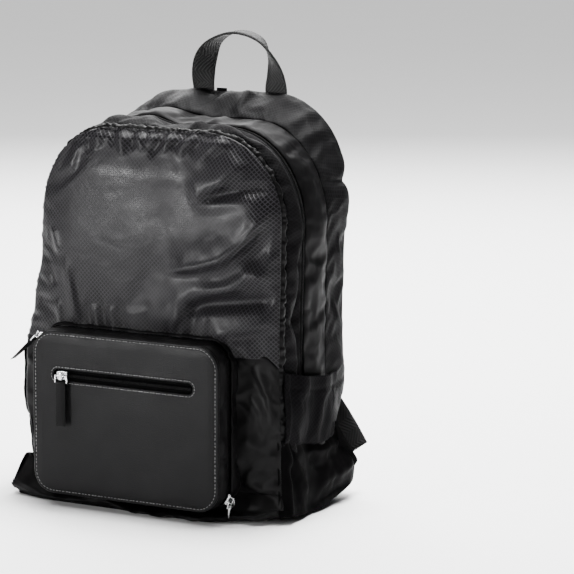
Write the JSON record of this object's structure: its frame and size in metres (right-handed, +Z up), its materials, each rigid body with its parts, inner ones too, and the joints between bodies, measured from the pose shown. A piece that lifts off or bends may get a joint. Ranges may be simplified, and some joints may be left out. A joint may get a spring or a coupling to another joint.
{
  "type": "packable backpack",
  "caption": "Soft nylon backpack standing opened out, with a zipped leather pouch low on its front, side pockets, carry handle and shoulder straps.",
  "frame": {"origin": "on the floor, under the middle of the bag's body", "axes": "+Z up, the front with the leather pouch faces -Y, +X to the right of someone in front of it"},
  "size_m": [0.3355, 0.2373, 0.4857],
  "materials": {
    "ripstop": "semi-gloss ripstop nylon",
    "smooth_nylon": "smooth semi-gloss nylon",
    "zip_tape": "matt woven zip tape with coil",
    "webbing": "matt woven webbing",
    "padding": "padded nylon",
    "leather": "satin, fine grain",
    "pull_leather": "satin",
    "zip_metal": "polished",
    "buckle": "satin"
  },
  "bodies": {
    "bag": {"front_panel": "ripstop", "lower_front_panel": "smooth_nylon", "front_zip_ruffle": "ripstop", "front_gusset": "ripstop", "main_zip": "zip_tape", "main_flap": "smooth_nylon", "rear_gusset": "ripstop", "back_panel": "ripstop", "base_panel": "smooth_nylon", "pouch_leather_front": "leather", "pouch_front_strip": "smooth_nylon", "pouch_zip": "zip_tape", "pouch_rear_strip": "smooth_nylon", "pocket_zip": "zip_tape", "pouch_side_slider": "zip_metal", "pouch_end_slider": "zip_metal", "side_pocket_left": "ripstop", "side_pocket_right": "ripstop", "carry_handle": "webbing", "seam_tab": "webbing", "shoulder_strap_left": "padding", "shoulder_strap_right": "padding", "strap_adjuster_left": "buckle", "strap_adjuster_right": "buckle", "strap_webbing_left": "webbing", "strap_webbing_right": "webbing", "corner_wing_left": "smooth_nylon", "corner_wing_right": "smooth_nylon"},
    "pocket_slide": {"pocket_slider": "zip_metal"},
    "pocket_tongue": {"pocket_pull_ring": "zip_metal", "pocket_pull": "pull_leather"},
    "side_tongue": {"pouch_side_ring": "zip_metal", "pouch_side_pull": "pull_leather"},
    "end_tongue": {"pouch_end_ring": "zip_metal", "pouch_end_pull": "zip_metal"}
  },
  "joints": [
    {"name": "pocket_zip_slide", "type": "slide", "parent": "bag", "child": "pocket_slide", "axis": [1, 0, 0], "range_m": [0, 0.139]},
    {"name": "pocket_pull_swing", "type": "hinge", "parent": "pocket_slide", "child": "pocket_tongue", "pos_m": [-0.09125, -0.1232, 0.141], "axis": [-1, 0, 0], "range_deg": [0, 150]},
    {"name": "pouch_side_pull_swing", "type": "hinge", "parent": "bag", "child": "side_tongue", "pos_m": [-0.1345, -0.0964, 0.17599], "axis": [0, 1, 0], "range_deg": [0, 110]},
    {"name": "pouch_end_pull_swing", "type": "hinge", "parent": "bag", "child": "end_tongue", "pos_m": [0.09334, -0.0964, 0.02516], "axis": [0, -1, 0], "range_deg": [0, 100]}
  ]
}
